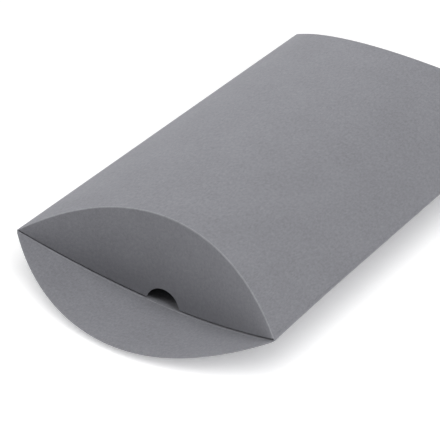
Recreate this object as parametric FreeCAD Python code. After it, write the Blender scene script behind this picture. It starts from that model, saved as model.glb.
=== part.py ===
"""Pillow box of grey solid board: two arched panels, curved end creases and four end flaps.

The box is one creased blank, glued at one long seam and divided here at its folds.
Frame: millimetres, +Z up, +Y from the front end to the rear end, origin at the middle of
the flat strip that the box rests on.  The glued seam is on the +X side.
"""

import math
import os

import FreeCAD
import Part

# Erected box
box_width = 165.0          # between the two side folds
box_length = 255.0         # between the front and rear corners
arch_height = 25.0         # outer rise of a panel from the side folds to its crown
crease_inset = 25.2        # how far an end crease curves in from its corners
open_crease_inset = 16.4   # the same at the open flap, which draws the lower panel out
board = 0.5                # thickness of the board
belly_flat_depth = 0.12    # how far the belly is pressed flat where it stands

# Folds and seam
fold_half_height = 0.6     # half the height of a side fold's nose
nose_radius = 0.3          # rounding of a side fold
corner_land = 1.5          # a side fold stops this far short of the corners
seam_edge_height = 1.2     # height of the upper panel's cut edge above the seam fold
tab_rise = 10.0            # height of the glue tab above the seam fold
tab_end_inset = 3.0        # how far the tab's ends stay inside the creases
glue_film = 0.1            # thickness of the adhesive
glue_clearance = 0.08      # between the adhesive and the board on either side of it
glue_margin = 1.0          # the adhesive stops this far inside the tab's edges

# Creases
crease_width = 0.8         # scored strip along the end of a panel, measured along the box
fold_gap = 0.6             # running gap between a crease and its flap
tuck_allowance = 1.0       # the rear lower crease is set in, so that its flap tucks inside

# Flaps, with fold angles counted from level
edge_clearance = 0.6       # free edge of a flap to the board it meets
horn_trim = 3.4            # the points of a flap are cut off this far inside the side folds
notch_radius = 11.0        # thumb notch
notch_depth = 8.1
foot_inset = 0.8           # the front upper flap stands this far inside the front lower crease
shut_angle = 90.0          # a flap that is folded upright
open_angle = 5.7           # the open flap, which rises a little
open_flap_length = 44.4    # from crease to free edge, along the middle of the open flap

UPPER, LOWER = 1, -1
FRONT, REAR = -1, 1
ACROSS = FreeCAD.Vector(1, 0, 0)
ALONG = FreeCAD.Vector(0, 1, 0)
UP = FreeCAD.Vector(0, 0, 1)

half_width = box_width / 2
half_length = box_length / 2
fold_level = arch_height - belly_flat_depth
past_crown = 2 * arch_height                # a height safely beyond the arch
lean_out = crease_inset - open_crease_inset - foot_inset
leaning_angle = shut_angle - math.degrees(math.atan2(lean_out, 2 * arch_height))


def arc_radius(rise):
    """Radius of the arc that spans the box's width with this rise."""
    return (half_width ** 2 + rise ** 2) / (2 * rise)


arch_radius = arc_radius(arch_height)
arch_drop = arch_radius - arch_height       # from the side folds back to the arch's centre
inner_radius = arch_radius - board
glue_radius = inner_radius - glue_clearance
tab_radius = glue_radius - glue_film - glue_clearance


def arch_cylinder(side, radius):
    """Solid cylinder about the axis of the upper or lower arch, as long as the box."""
    start = FreeCAD.Vector(0, -half_length, fold_level - side * arch_drop)
    return Part.makeCylinder(radius, box_length, start, ALONG)


def arch_shell(side, outer, inner):
    """Tube wall between two radii about the axis of the upper or lower arch."""
    return arch_cylinder(side, outer).cut(arch_cylinder(side, inner))


def slab(x_low, x_high, z_low, z_high):
    """Box past both ends of the part, with heights measured from the side folds."""
    corner = FreeCAD.Vector(x_low, -box_length, fold_level + z_low)
    return Part.makeBox(x_high - x_low, 2 * box_length, z_high - z_low, corner)


def above_floor(shape):
    """The belly is flat where the box stands."""
    return shape.cut(slab(-box_width, box_width, -2 * past_crown, -fold_level))


def bow_depth(end, side, fold_angle):
    """How far a flap is bowed: hollow, above zero, when folded in, and bulged when open."""
    turn = math.radians(fold_angle)
    inset = open_crease_inset if (end, side) == (FRONT, LOWER) else crease_inset
    return inset * math.sin(turn) - arch_height * math.cos(turn)


def leaf_cylinder(end, side, fold_angle, inward):
    """Cylinder whose wall is a flap's outer face, moved this far into the box.

    It is made for the front upper flap, upright, turned about the line between the
    corners, and mirrored to the other end or side of the box.
    """
    depth = bow_depth(end, side, fold_angle)
    hollow = math.copysign(1, depth)
    radius = arc_radius(abs(depth))
    tuck = tuck_allowance if (end, side) == (REAR, LOWER) else 0
    corner = FreeCAD.Vector(0, tuck - half_length, fold_level)
    base = corner + FreeCAD.Vector(0, depth - hollow * radius, -box_length)
    cylinder = Part.makeCylinder(radius + hollow * inward, 2 * box_length, base)
    cylinder.rotate(corner, ACROSS, fold_angle - shut_angle)
    if end == REAR:
        cylinder = cylinder.mirror(FreeCAD.Vector(), ALONG)
    if side == LOWER:
        cylinder = cylinder.mirror(corner, UP)
    return cylinder


def crease_wall(end, side, inward):
    """Upright cylinder that follows an end crease, this far into the box."""
    return leaf_cylinder(end, side, shut_angle, inward)


def inside_creases(shape, side, inward):
    """What is left this far inside both end creases of a panel."""
    shape = shape.cut(crease_wall(FRONT, side, inward))
    return shape.cut(crease_wall(REAR, side, inward))


def cut_at_folds(shape, side):
    """A panel's long edges: level cuts at the side folds, set back along the glued seam."""
    if side == LOWER:
        return above_floor(shape.common(slab(-box_width, box_width, -past_crown, -fold_half_height)))
    shape = shape.cut(slab(0, box_width, -past_crown, seam_edge_height))
    return shape.common(slab(-box_width, box_width, fold_half_height, past_crown))


def panel(side):
    """Arched panel: a strip of a tube, with its ends cut along the curved creases."""
    shell = arch_shell(side, arch_radius, inner_radius)
    return cut_at_folds(inside_creases(shell, side, crease_width), side)


def crease(end, side):
    """Scored strip that hinges a flap: the last stretch of the panel up to the crease."""
    strip = arch_shell(side, arch_radius, inner_radius)
    strip = strip.common(crease_wall(end, side, crease_width))
    return cut_at_folds(strip.cut(crease_wall(end, side, 0)), side)


def fold_nose(x_inner, x_side):
    """Rounded nose where the two arches meet, from x_inner out to the side of the box."""
    lens = arch_cylinder(UPPER, arch_radius).common(arch_cylinder(LOWER, arch_radius))
    length = box_length - 2 * corner_land
    corner = FreeCAD.Vector(min(x_inner, x_side), -length / 2, fold_level - fold_half_height)
    nose = lens.common(Part.makeBox(abs(x_side - x_inner), length, 2 * fold_half_height, corner))
    tip = max(nose.Edges, key=lambda edge: abs(edge.CenterOfMass.x))
    return nose.makeFillet(nose_radius, [tip])


def width_at_fold(radius):
    """Half the width of an arch of this radius at the top of the fold's nose."""
    return math.sqrt(radius ** 2 - (arch_drop + fold_half_height) ** 2)


def glue_tab():
    """Tab that carries on from the seam fold, up the inside of the upper panel."""
    tab = arch_shell(UPPER, tab_radius, tab_radius - board)
    tab = inside_creases(tab, UPPER, tab_end_inset)
    return tab.common(slab(0, box_width, fold_half_height, tab_rise))


def glue_line():
    """Film of adhesive between the tab and the upper panel."""
    film = arch_shell(UPPER, glue_radius, glue_radius - glue_film)
    film = inside_creases(film, UPPER, tab_end_inset + glue_margin)
    return film.common(slab(0, box_width, seam_edge_height, tab_rise - glue_margin))


def leaf(end, side, fold_angle):
    """Endless bowed sheet of board at a flap's fold angle, with its points trimmed off."""
    outer = leaf_cylinder(end, side, fold_angle, 0)
    inner = leaf_cylinder(end, side, fold_angle, board)
    hollow = bow_depth(end, side, fold_angle) > 0
    sheet = inner.cut(outer) if hollow else outer.cut(inner)
    x_end = half_width - horn_trim
    return sheet.common(slab(-x_end, x_end, -past_crown, past_crown))


def folded_flap(end, side, fold_angle):
    """Flap folded in: from a running gap under its crease to just short of the panel opposite."""
    flap = leaf(end, side, fold_angle).common(arch_cylinder(side, inner_radius - fold_gap))
    return flap.common(arch_cylinder(-side, inner_radius - edge_clearance))


def notched_flap(end, fold_angle):
    """Upper flap, folded in, with a round thumb notch in the middle of its free edge."""
    edge_height = board + edge_clearance - arch_height
    centre_height = fold_level + edge_height + notch_depth - notch_radius
    middle = FreeCAD.Vector(0, -box_length, centre_height)
    notch = Part.makeCylinder(notch_radius, 2 * box_length, middle, ALONG)
    return folded_flap(end, UPPER, fold_angle).cut(notch)


def front_lower_flap():
    """Unfolded: it carries on from the lower panel and rises a little to its free edge."""
    flap = leaf(FRONT, LOWER, open_angle).common(crease_wall(FRONT, LOWER, -fold_gap))
    # The free edge lies in a slanted plane through the two front corners.
    rise = math.radians(open_angle)
    edge_out = open_flap_length * math.cos(rise) - open_crease_inset
    edge_down = arch_height - open_flap_length * math.sin(rise)
    outward = past_crown * edge_out / edge_down
    chord = FreeCAD.Vector(-box_width, -half_length, fold_level)
    behind_edge = [
        chord,
        chord + FreeCAD.Vector(0, -outward, -past_crown),
        chord + FreeCAD.Vector(0, box_width, -past_crown),
        chord + FreeCAD.Vector(0, box_width, 0),
    ]
    face = Part.Face(Part.makePolygon(behind_edge + behind_edge[:1]))
    return above_floor(flap.common(face.extrude(2 * box_width * ACROSS)))


nodes = {
    "upper_panel": panel(UPPER),
    "lower_panel": panel(LOWER),
    "side_fold": fold_nose(-width_at_fold(inner_radius), -half_width),
    "seam_fold": fold_nose(width_at_fold(tab_radius - board), half_width),
    "glue_tab": glue_tab(),
    "glue_line": glue_line(),
    "front_upper_crease": crease(FRONT, UPPER),
    "front_lower_crease": crease(FRONT, LOWER),
    "rear_upper_crease": crease(REAR, UPPER),
    "rear_lower_crease": crease(REAR, LOWER),
    "front_upper_flap": notched_flap(FRONT, leaning_angle),
    "front_lower_flap": front_lower_flap(),
    "rear_upper_flap": notched_flap(REAR, shut_angle),
    "rear_lower_flap": folded_flap(REAR, LOWER, shut_angle),
}

os.makedirs("parts", exist_ok=True)
for name, shape in nodes.items():
    solid = shape.removeSplitter()
    solid.exportStep(os.path.join("parts", name + ".step"))
    print(f"{name}: {len(solid.Solids)} solid, valid {solid.isValid()}, {solid.Volume:.1f} mm3")
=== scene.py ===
import math

import bmesh
import bpy
from mathutils import Matrix, Vector


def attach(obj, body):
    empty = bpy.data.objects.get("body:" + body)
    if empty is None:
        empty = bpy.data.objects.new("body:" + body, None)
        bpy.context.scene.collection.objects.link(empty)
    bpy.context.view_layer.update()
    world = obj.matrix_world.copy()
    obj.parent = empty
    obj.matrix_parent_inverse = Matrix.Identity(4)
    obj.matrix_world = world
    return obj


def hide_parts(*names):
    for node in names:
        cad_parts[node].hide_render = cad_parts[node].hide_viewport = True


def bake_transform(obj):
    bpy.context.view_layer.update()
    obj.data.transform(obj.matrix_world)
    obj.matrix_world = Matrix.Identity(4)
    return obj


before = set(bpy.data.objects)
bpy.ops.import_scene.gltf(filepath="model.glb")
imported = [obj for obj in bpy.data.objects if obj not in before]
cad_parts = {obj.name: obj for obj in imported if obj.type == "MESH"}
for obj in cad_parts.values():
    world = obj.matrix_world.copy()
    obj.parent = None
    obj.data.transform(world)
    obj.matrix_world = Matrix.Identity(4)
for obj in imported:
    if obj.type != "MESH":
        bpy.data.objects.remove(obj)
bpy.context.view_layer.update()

# Board: solid paper board, dyed grey right through, uncoated, with a fine fibre grain.
# It is delivered as a flat sheet, and its faces are a little darker than its cut edges.
mm = 0.001
board = 0.5 * mm
edge_easing = 0.08 * mm
sharp_edge = math.radians(60)
grain_depth = 0.04 * mm
fibre_stretch = (1, 0.22, 1)
noise_middle = 0.5


class Fibre:
    """A number that varies over the board: a node's socket that takes arithmetic."""

    def __init__(self, tree, socket):
        self.tree = tree
        self.socket = socket

    @classmethod
    def node(cls, tree, kind, settings=None, output=0, **values):
        made = tree.nodes.new(kind)
        for name, value in (settings or {}).items():
            setattr(made, name, value)
        for name, value in values.items():
            key = int(name[1:]) if name[0] == "_" else name.replace("_", " ")
            if isinstance(value, Fibre):
                tree.links.new(value.socket, made.inputs[key])
            else:
                made.inputs[key].default_value = value
        return cls(tree, made.outputs[output])

    def math(self, operation, first, second):
        return self.node(self.tree, "ShaderNodeMath", {"operation": operation}, _0=first, _1=second)

    def __add__(self, other):
        return self.math("ADD", self, other)

    def __radd__(self, other):
        return self.math("ADD", other, self)

    def __sub__(self, other):
        return self.math("SUBTRACT", self, other)

    def __rsub__(self, other):
        return self.math("SUBTRACT", other, self)

    def __mul__(self, other):
        return self.math("MULTIPLY", self, other)

    def __rmul__(self, other):
        return self.math("MULTIPLY", other, self)


def dyed_board(name, dark, light, tooth):
    """Matte dyed board: cloudy formation, fine mottle and fibres that lie along the box."""
    material = bpy.data.materials.new(name)
    material.use_nodes = True
    tree = material.node_tree
    surface = tree.nodes["Principled BSDF"]
    place = Fibre.node(tree, "ShaderNodeTexCoord", output="Object")
    lengthways = Fibre.node(tree, "ShaderNodeMapping", Vector=place, Scale=fibre_stretch)
    cloud = Fibre.node(tree, "ShaderNodeTexNoise", Vector=place, Scale=38.0, Detail=3.0)
    mottle = Fibre.node(tree, "ShaderNodeTexNoise", Vector=place, Scale=650.0, Detail=4.0)
    fibre = Fibre.node(tree, "ShaderNodeTexNoise", Vector=lengthways, Scale=2400.0, Detail=2.0)
    grain = 1.1 * (mottle - noise_middle) + 1.2 * (fibre - noise_middle)
    shade = noise_middle + 0.5 * (cloud - noise_middle) + grain
    colour = Fibre.node(
        tree, "ShaderNodeMix", {"data_type": "RGBA"}, output=2, _0=shade, _6=dark, _7=light
    )
    tree.links.new(colour.socket, surface.inputs["Base Color"])
    rough = 0.8 + 0.16 * (mottle - noise_middle)
    tree.links.new(rough.socket, surface.inputs["Roughness"])
    height = 0.6 * mottle + 0.4 * fibre
    bump = Fibre.node(
        tree, "ShaderNodeBump", Strength=tooth, Distance=grain_depth, Height=height
    )
    tree.links.new(bump.socket, surface.inputs["Normal"])
    surface.inputs["Specular IOR Level"].default_value = 0.25
    return material


face_finish = dyed_board(
    "dyed_board_face", dark=(0.235, 0.236, 0.256, 1), light=(0.335, 0.337, 0.366, 1), tooth=0.3
)
edge_finish = dyed_board(
    "dyed_board_cut_edge", dark=(0.28, 0.281, 0.303, 1), light=(0.40, 0.402, 0.434, 1), tooth=0.8
)
# Crease beads are painted lighter: a painted highlight along the folds, with slight fibre
# whitening.
crease_whitening_and_painted_highlight = dyed_board(
    "dyed_board_crease_whitening_and_painted_highlight", dark=(0.31, 0.312, 0.335, 1), light=(0.43, 0.433, 0.465, 1), tooth=0.6
)


def board_piece(name, sheet):
    """A bent sheet as a piece: given the board's thickness and slightly eased cut edges."""
    for face in sheet.faces:
        face.smooth = True
    mesh = bpy.data.meshes.new(name)
    sheet.to_mesh(mesh)
    sheet.free()
    piece = bpy.data.objects.new(name, mesh)
    bpy.context.scene.collection.objects.link(piece)
    mesh.materials.append(face_finish)
    mesh.materials.append(edge_finish)
    wall = piece.modifiers.new("board thickness", "SOLIDIFY")
    wall.thickness = board
    wall.offset = 0
    wall.material_offset_rim = 1
    eased = piece.modifiers.new("eased cut edge", "BEVEL")
    eased.width = edge_easing
    eased.segments = 2
    eased.limit_method = "ANGLE"
    eased.angle_limit = sharp_edge
    eased.harden_normals = True
    return piece


def outward_faces(sheet, towards):
    """Turns a bent sheet so that its faces look this way."""
    sheet.normal_update()
    total = sum((face.normal * face.calc_area() for face in sheet.faces), Vector())
    if total.dot(towards) < 0:
        bmesh.ops.reverse_faces(sheet, faces=sheet.faces[:])


# Upper panel: the arched top of the box, held in its arch by the curved creases at its ends.
# At the left it runs into the side fold; at the right its cut edge lies on the glue tab.
half_width = 82.5 * mm
half_length = 127.5 * mm
arch_rise = 25 * mm
fold_level = 24.88 * mm
crease_inset = 25.2 * mm
open_crease_inset = 16.4 * mm
rear_tuck = 1 * mm
corner_blunting = 1 * mm
blunt_y = half_length - corner_blunting
seam_slack = 0.3 * mm
corner_slack = 1.3 * mm
slack_from_x = 45 * mm
slack_from_y = 60 * mm
seam_edge_height = 0.45 * mm
UPPER, LOWER = 1, -1
FRONT, REAR = -1, 1


def arc_radius(rise):
    """Radius of the arc that spans the box's width with this rise."""
    return (half_width ** 2 + rise ** 2) / (2 * rise)


arch_radius = arc_radius(arch_rise)
arch_drop = arch_radius - arch_rise
middle_radius = arch_radius - board / 2
fold_x = math.sqrt(middle_radius ** 2 - arch_drop ** 2)


def arch_height(x, radius=middle_radius):
    """Height of the arch above the side folds, half way through the board."""
    return math.sqrt(radius ** 2 - x ** 2) - arch_drop


def crease_y(end, side, x):
    """Where an end crease runs, half way through the board.

    The rear lower crease is tucked in, and the open flap draws the front lower one out.
    """
    tuck = rear_tuck if (end, side) == (REAR, LOWER) else 0
    depth = open_crease_inset if (end, side) == (FRONT, LOWER) else crease_inset
    bow_radius = arc_radius(depth)
    inset = math.sqrt(bow_radius ** 2 - x ** 2) - bow_radius + depth + board / 2
    return end * (half_length - inset - tuck)


def seam_drop(x, y):
    """How far the lower board hangs open along the seam, most of all at the front corner."""
    across = max((x - slack_from_x) / (fold_x - slack_from_x), 0)
    along = max((-y - slack_from_y) / (half_length - slack_from_y), 0)
    return (seam_slack + corner_slack * along ** 2) * across ** 2


roll_radius = 0.6 * mm
roll_fade = 9 * mm


def roll_inset(end, side, x):
    """How far a rounded crease is set in from the line where panel and flap would meet.

    It dies out at the corners, and the open flap leaves its crease unbent.
    """
    if (end, side) == (FRONT, LOWER):
        return 0
    return (roll_radius - board / 2) * min(max((fold_x - abs(x)) / roll_fade, 0), 1)


def panel_sheet(side, left, right):
    """A grid of board, bent to the arch and cut to the two end creases."""
    sheet = bmesh.new()
    bmesh.ops.create_grid(sheet, x_segments=132, y_segments=48, size=1)
    start = math.asin(left / middle_radius)
    sweep = math.asin(right / middle_radius) - start
    for vert in sheet.verts:
        x = middle_radius * math.sin(start + sweep * (vert.co.x + 1) / 2)
        front = crease_y(FRONT, side, x) + roll_inset(FRONT, side, x)
        rear = crease_y(REAR, side, x) - roll_inset(REAR, side, x)
        z = fold_level + side * arch_height(x)
        y = front + (rear - front) * (vert.co.y + 1) / 2
        if side == LOWER:
            z -= seam_drop(x, y)
        vert.co = x, max(min(y, blunt_y), -blunt_y), max(z, board / 2)
    outward_faces(sheet, Vector((0, 0, side)))
    return sheet


seam_edge_x = math.sqrt(middle_radius ** 2 - (arch_drop + seam_edge_height) ** 2)
upper_panel = board_piece("upper_panel_board", panel_sheet(UPPER, -fold_x, seam_edge_x))
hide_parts("upper_panel")
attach(upper_panel, "carton")

# Lower panel: the same arch upside down, pressed flat in a narrow strip where it stands.
# It runs from the plain fold at the left to the seam fold at the right.
lower_panel = board_piece("lower_panel_board", panel_sheet(LOWER, -fold_x, fold_x))
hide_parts("lower_panel")
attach(lower_panel, "carton")

# Side folds: the board is scored and turned back on itself, so its outside is a tight round.
# The plain fold is at the left; the seam fold at the right turns the glue tab in.
fold_radius = 0.29 * mm
fold_cuts = 40


def scored_line(name, path, radius, cuts):
    """A rounded bead of compressed board that follows a scored line from end to end."""
    bead = bmesh.new()
    bmesh.ops.create_cone(bead, cap_ends=True, segments=20, radius1=1, radius2=1, depth=2)
    along = [edge for edge in bead.edges if abs(edge.verts[0].co.z - edge.verts[1].co.z) > 1]
    bmesh.ops.subdivide_edges(bead, edges=along, cuts=cuts, use_grid_fill=True)
    step = 1e-3
    for vert in bead.verts:
        here = Vector(path(vert.co.z))
        heading = Vector(path(min(vert.co.z + step, 1))) - Vector(path(max(vert.co.z - step, -1)))
        side = heading.cross(Vector((0, 0, 1))).normalized()
        up = side.cross(heading).normalized()
        vert.co = here + radius(vert.co.z) * (side * vert.co.x + up * vert.co.y)
        vert.co.z = max(vert.co.z, 0)
    bmesh.ops.recalc_face_normals(bead, faces=bead.faces[:])
    for face in bead.faces:
        face.smooth = len(face.verts) == 4
    mesh = bpy.data.meshes.new(name)
    bead.to_mesh(mesh)
    bead.free()
    # The bead is painted lighter: a painted highlight along the fold, with slight fibre whitening.
    mesh.materials.append(crease_whitening_and_painted_highlight)
    piece = bpy.data.objects.new(name, mesh)
    bpy.context.scene.collection.objects.link(piece)
    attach(piece, "carton")
    return piece


side_fold = scored_line(
    "side_fold_bead", lambda t: (-fold_x, t * blunt_y, fold_level), lambda t: fold_radius, fold_cuts
)
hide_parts("side_fold")
seam_fold = scored_line(
    "seam_fold_bead",
    lambda t: (fold_x, t * blunt_y, fold_level - seam_drop(fold_x, t * blunt_y)),
    lambda t: fold_radius, fold_cuts,
)
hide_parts("seam_fold")

# Glue tab: a strip that carries on from the lower panel, past the seam fold, and lies under
# the upper panel's edge. Its outermost half millimetre shows beside that cut edge.
tab_rise = 10 * mm
tab_sink = 0.56 * mm
tab_end_inset = 3 * mm
tab_corner_rise = 3 * mm
tab_under_rise = 0.9 * mm
tab_slack_rise = 0.6 * mm
rows_towards_fold = 1.6


def tab_sheet():
    """A grid of board that turns up at the seam fold and sinks under the upper panel."""
    tab = bmesh.new()
    bmesh.ops.create_grid(tab, x_segments=24, y_segments=60, size=1)
    for vert in tab.verts:
        rise = tab_rise * ((vert.co.x + 1) / 2) ** rows_towards_fold
        under = min(rise / tab_under_rise, 1)
        radius = middle_radius - tab_sink * under * under * (3 - 2 * under)
        x = math.sqrt(radius ** 2 - (arch_drop + rise) ** 2)
        cut_back = tab_end_inset * min(rise / tab_corner_rise, 1)
        y = (min(crease_y(REAR, UPPER, x), blunt_y) - cut_back) * vert.co.y
        hang = seam_drop(x, y) * max(1 - rise / tab_slack_rise, 0)
        vert.co = x, y, fold_level + rise - hang
    outward_faces(tab, Vector((1, 0, 1)))
    return tab


glue_tab = board_piece("glue_tab_board", tab_sheet())
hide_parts("glue_tab")
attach(glue_tab, "carton")

# Glue line: a film of dried dispersion glue between the tab and the upper panel, rolled on
# in one pass, so it is a little streaky along the seam.
streak_stretch = (1, 0.08, 1)
glue_finish = bpy.data.materials.new("dried_glue")
glue_finish.use_nodes = True
tree = glue_finish.node_tree
place = Fibre.node(tree, "ShaderNodeTexCoord", output="Object")
lengthways = Fibre.node(tree, "ShaderNodeMapping", Vector=place, Scale=streak_stretch)
streak = Fibre.node(tree, "ShaderNodeTexNoise", Vector=lengthways, Scale=700.0, Detail=2.0)
tint = Fibre.node(
    tree, "ShaderNodeMix", {"data_type": "RGBA"}, output=2,
    _0=streak, _6=(0.62, 0.58, 0.47, 1), _7=(0.8, 0.77, 0.68, 1),
)
tree.links.new(tint.socket, tree.nodes["Principled BSDF"].inputs["Base Color"])
gloss = 0.3 + 0.3 * streak
tree.links.new(gloss.socket, tree.nodes["Principled BSDF"].inputs["Roughness"])
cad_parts["glue_line"].data.materials.clear()
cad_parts["glue_line"].data.materials.append(glue_finish)

# End creases: four scored lines that curve in from the corners. Three carry a folded flap and
# are rounded over; the open flap leaves the fourth as a fine ridge.
ridge_radius = 0.4 * mm
crease_end_x = 81.9 * mm
crease_cuts = 110


def crease_x(t):
    """Across the box, with the cuts closer together towards the corners."""
    return crease_end_x * math.sin(t * math.pi / 2)


def crease_path(end, side):
    """Where a crease's bead runs, from -1 at the left to 1 at the right."""
    def path(t):
        x = crease_x(t)
        inset = roll_inset(end, side, x)
        y = crease_y(end, side, x) - end * inset
        z = fold_level + side * arch_height(x, middle_radius - inset)
        return x, y, z - seam_drop(x, y) if side == LOWER else z
    return path


def crease_radius(end, side):
    """How thick a crease's bead is along its run: thinnest at the corners."""
    def radius(t):
        if (end, side) == (FRONT, LOWER):
            return fold_radius + (ridge_radius - fold_radius) * (1 - t ** 4)
        return max(board / 2 + roll_inset(end, side, crease_x(t)), fold_radius)
    return radius


for end, end_name in ((FRONT, "front"), (REAR, "rear")):
    for side, side_name in ((UPPER, "upper"), (LOWER, "lower")):
        bead = scored_line(
            f"{end_name}_{side_name}_crease_bead",
            crease_path(end, side), crease_radius(end, side), crease_cuts,
        )
        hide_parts(f"{end_name}_{side_name}_crease")

# Flaps: board that goes on past each end crease. A flap is straight from crease to free edge
# and takes the curve of its crease, hollow when it is folded in and bulged when it is open.
notch_radius = 11 * mm
notch_depth = 8.1 * mm
folded_tip_x = 80.9 * mm


def flap(name, end, side, limit, rest_angle, tip_x, free_length, notched):
    """One flap at its resting angle, which is counted from upright, outwards.

    Each point's share of the joint's turn, which would keep the flap joined to its whole curved
    crease up to the joint's limit, is worked out but not kept: the flap is built at rest.
    """
    columns = 120
    notch_columns = 40
    rows = 36
    shortest = 0.2 * mm
    on_crease = 1e-7
    notch_reach = math.acos(1 - notch_depth / notch_radius)
    notch_end = notch_radius * math.sin(notch_reach)
    sheet = bmesh.new()
    bmesh.ops.create_grid(sheet, x_segments=columns, y_segments=rows, size=1)
    turned = rest_angle + limit
    at_rest = Vector((math.sin(rest_angle), math.cos(rest_angle)))
    at_limit = Vector((math.sin(turned), math.cos(turned)))
    hinge_y = crease_y(end, side, 0)
    hinge_z = arch_height(0)
    for vert in sheet.verts:
        column = vert.co.x * columns / 2
        if not notched:
            x = tip_x * vert.co.x
        elif abs(column) <= notch_columns / 2:
            x = notch_radius * math.sin(column / notch_columns * 2 * notch_reach)
        else:
            beyond = (abs(column) - notch_columns / 2) / (columns - notch_columns) * 2
            x = math.copysign(notch_end + (tip_x - notch_end) * beyond, column)
        root = roll_inset(end, side, x)
        length = max(free_length(x) - root, shortest)
        if notched and abs(x) < notch_end:
            length -= math.sqrt(notch_radius ** 2 - x ** 2) - notch_radius + notch_depth
        down = root + length * (vert.co.y + 1) / 2
        crease = Vector((end * (crease_y(end, side, x) - hinge_y), hinge_z - arch_height(x)))
        rest = crease + down * at_rest
        goal = crease + down * at_limit
        turn = math.atan2(goal.x, goal.y) - math.atan2(rest.x, rest.y)
        turn / limit if down > on_crease else 0.0
        z = fold_level + side * (hinge_z - rest.y)
        if side == LOWER:
            z -= seam_drop(x, crease_y(end, side, x))
        vert.co = x, hinge_y + end * rest.x, max(z, board / 2)
    outward_faces(sheet, Vector((0, end * math.cos(rest_angle), side * math.sin(rest_angle))))
    piece = board_piece(name + "_board", sheet)
    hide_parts(name)
    middle = (0, hinge_y, fold_level + side * hinge_z)
    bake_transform(piece)


# Front flaps: the plain lower one is open and rises a little from level; the notched upper one
# is folded down and leans out. Its free edge stands just inside the lower crease, and follows
# it where the lower board hangs open at the right.
open_rise = 5.7
open_angle = math.radians(90 - open_rise)
lean_out = 8 * mm
leaning_angle = math.atan2(lean_out, 2 * arch_rise)
open_length = 44.4 * mm
open_tip_x = 81.3 * mm
edge_gap = 0.5 * mm
follow_share = 0.7


def open_reach(x):
    """From crease to free edge: longest in the middle, in step with the arch's height."""
    return open_length * arch_height(x) / arch_height(0)


def leaning_reach(x):
    """From crease to free edge, just short of the lower board where that hangs open."""
    follow = follow_share * seam_drop(x, crease_y(FRONT, LOWER, x))
    return (2 * arch_height(x) - board - edge_gap + follow) / math.cos(leaning_angle)


flap("front_lower_flap", FRONT, LOWER, math.radians(-90), open_angle,
     open_tip_x, open_reach, notched=False)
flap("front_upper_flap", FRONT, UPPER, math.radians(80), leaning_angle,
     folded_tip_x, leaning_reach, notched=True)

# Rear flaps: the plain lower one is tucked in first and the notched upper one closes over it.
# Both stand upright, and each ends just short of the panel opposite.
def upright_reach(x):
    """From crease to free edge: what the arches leave between the two panels."""
    return 2 * arch_height(x) - board - edge_gap


flap("rear_lower_flap", REAR, LOWER, math.radians(90), 0,
     folded_tip_x, upright_reach, notched=False)
flap("rear_upper_flap", REAR, UPPER, math.radians(90), 0,
     folded_tip_x, upright_reach, notched=True)

# Studio: a white table that glows faintly, with a wide lamp of its own that keeps the shadow
# soft and even all round, three lamps that light the box alone, and a dim room.
table_radius = 1.0
table_drop = 0.02 * mm
table_paint = (0.9, 0.9, 0.9, 1)
table_glow = 0.22
far_glow = 1.2
dim_room = (0.1, 0.1, 0.1, 1)
white_room = (1, 1, 1, 1)


def looked_at(tree):
    """One for rays from the camera, also by way of a mirror or through glass; else nought."""
    straight = Fibre.node(tree, "ShaderNodeLightPath", output="Is Camera Ray")
    mirrored = Fibre.node(tree, "ShaderNodeLightPath", output="Is Glossy Ray")
    through = Fibre.node(tree, "ShaderNodeLightPath", output="Is Transmission Ray")
    return straight + mirrored + through


floor_mesh = bpy.data.meshes.new("studio_floor")
disc = bmesh.new()
bmesh.ops.create_circle(disc, cap_ends=True, segments=96, radius=table_radius)
bmesh.ops.translate(disc, verts=disc.verts, vec=(0, 0, -table_drop))
disc.to_mesh(floor_mesh)
disc.free()
floor = bpy.data.objects.new("studio_floor", floor_mesh)
bpy.context.scene.collection.objects.link(floor)
floor_finish = bpy.data.materials.new("white_floor")
floor_finish.use_nodes = True
tree = floor_finish.node_tree
paint = tree.nodes["Principled BSDF"]
paint.inputs["Base Color"].default_value = table_paint
paint.inputs["Roughness"].default_value = 0.9
paint.inputs["Emission Strength"].default_value = 1
place = Fibre.node(tree, "ShaderNodeTexCoord", output="Object")
distance = Fibre.node(
    tree, "ShaderNodeVectorMath", {"operation": "LENGTH"}, output="Value", _0=place
)
glow = table_glow + far_glow * looked_at(tree) * distance * distance
tree.links.new(glow.socket, paint.inputs["Emission Color"])
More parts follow.
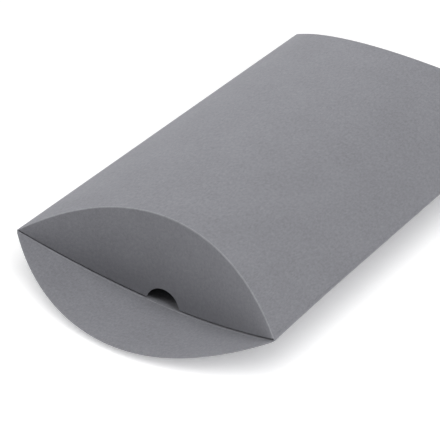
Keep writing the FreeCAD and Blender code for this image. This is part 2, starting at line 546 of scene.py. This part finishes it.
floor_mesh.materials.append(floor_finish)

world = bpy.data.worlds.new("studio_room")
bpy.context.scene.world = world
world.use_nodes = True
tree = world.node_tree
room = tree.nodes["Background"]
shade = Fibre.node(
    tree, "ShaderNodeMix", {"data_type": "RGBA"}, output=2,
    _0=looked_at(tree), _6=dim_room, _7=white_room,
)
tree.links.new(shade.socket, room.inputs["Color"])


BOX_ALONE, TABLE_ALONE = "EXCLUDE", "INCLUDE"


def broad_lamp(name, place, width, power, lights):
    """A soft round lamp that faces the box, and lights either the box or the table."""
    lamp = bpy.data.lights.new(name, "AREA")
    lamp.shape = "DISK"
    lamp.size = width
    lamp.energy = power
    stand = bpy.data.objects.new(name, lamp)
    stand.location = place
    stand.rotation_euler = (-Vector(place)).to_track_quat("-Z", "Y").to_euler()
    bpy.context.scene.collection.objects.link(stand)
    table = bpy.data.collections.new(name + "_table")
    table.objects.link(floor)
    table.collection_objects[0].light_linking.link_state = lights
    stand.light_linking.receiver_collection = table


broad_lamp("right_lamp", place=(0.75, 0, 1.3), width=1, power=13.4, lights=BOX_ALONE)
broad_lamp("left_lamp", place=(-1.22, -0.44, 0.75), width=1, power=7.2, lights=BOX_ALONE)
broad_lamp("back_left_lamp", place=(-0.92, 0.92, 0.75), width=1, power=7.7, lights=BOX_ALONE)
broad_lamp("table_lamp", place=(0.5, -0.65, 1.5), width=2.4, power=42, lights=TABLE_ALONE)

# Camera: above the front right corner, far off, with a long lens.
camera = bpy.data.cameras.new("camera")
camera.sensor_width = 36
camera.lens = 151.37
view = bpy.data.objects.new("camera", camera)
right = Vector((0.798523, 0.600643, -0.039859))
up = Vector((-0.309757, 0.466776, 0.828354))
back = Vector((0.51615, -0.649113, 0.558785))
stand_point = Vector((0.497308, -0.68558, 0.562956))
turn = Matrix((right, up, back)).transposed().to_4x4()
view.matrix_world = Matrix.Translation(stand_point) @ turn
bpy.context.scene.collection.objects.link(view)
bpy.context.scene.camera = view
bpy.context.scene.view_settings.view_transform = "Standard"
